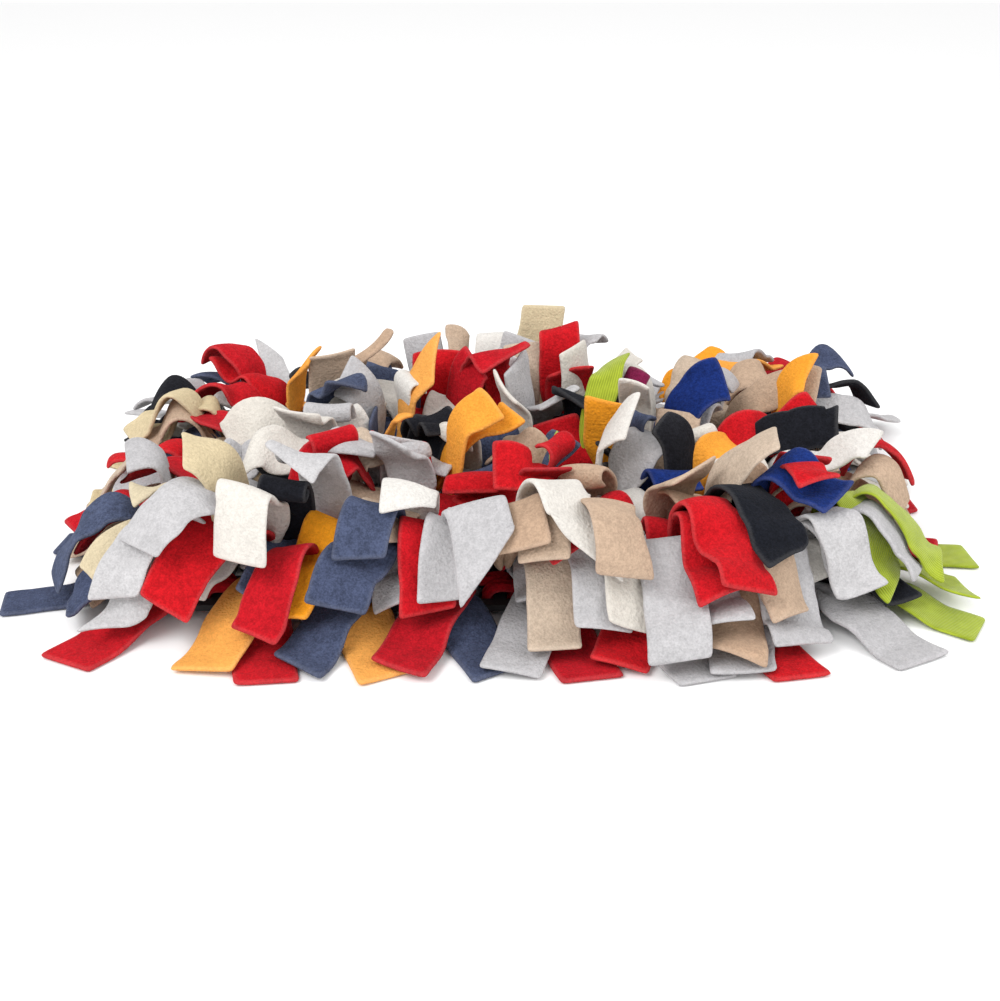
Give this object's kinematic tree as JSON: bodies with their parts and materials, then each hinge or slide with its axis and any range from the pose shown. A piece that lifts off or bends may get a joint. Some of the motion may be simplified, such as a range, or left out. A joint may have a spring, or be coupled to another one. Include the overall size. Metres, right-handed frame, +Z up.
{
  "type": "snuffle mat",
  "caption": "Snuffle mat for a pet: short fleece strips in many colours tied through a rubber lattice, their tails spreading outward over one another in a low soft mound.",
  "frame": {"origin": "the middle of the mat's overall box, on the floor it lies on", "axes": "X along the mat's longer way, Y across it towards the back, Z up"},
  "size_m": [0.6065, 0.4114, 0.1073],
  "materials": {
    "beige": "brushed fleece with a short pile, matt",
    "black": "brushed fleece with a short pile, matt",
    "cream": "brushed fleece with a short pile, matt",
    "light_grey": "brushed fleece with a short pile, matt",
    "lime": "soft ribbed jersey, matt",
    "mustard": "brushed fleece with a short pile, matt",
    "navy": "brushed fleece with a short pile, matt",
    "plum": "brushed fleece with a short pile, matt",
    "red": "brushed fleece with a short pile, matt",
    "rubber": "black rubber, matt",
    "slate": "brushed fleece with a short pile, matt",
    "white": "brushed fleece with a short pile, matt"
  },
  "bodies": {
    "root": {"lattice": "rubber", "strip_01": "red", "strip_02": "mustard", "strip_03": "slate", "strip_04": "red", "strip_05": "light_grey", "strip_06": "red", "strip_07": "light_grey", "strip_08": "slate", "strip_09": "beige", "strip_10": "cream", "strip_11": "lime", "strip_12": "red", "strip_13": "white", "strip_14": "light_grey", "strip_15": "red", "strip_16": "black", "strip_17": "cream", "strip_18": "light_grey", "strip_19": "mustard", "strip_20": "red", "strip_21": "white", "strip_22": "light_grey", "strip_23": "light_grey", "strip_24": "beige", "strip_25": "beige", "strip_26": "black", "strip_27": "beige", "strip_28": "slate", "strip_29": "light_grey", "strip_30": "lime", "strip_31": "plum", "strip_32": "beige", "strip_33": "white", "strip_34": "white", "strip_35": "slate", "strip_36": "mustard", "strip_37": "black", "strip_38": "navy", "strip_39": "red", "strip_40": "cream", "strip_41": "light_grey", "strip_42": "red", "strip_43": "red", "strip_44": "white", "strip_45": "beige", "strip_46": "navy"}
  },
  "joints": []
}
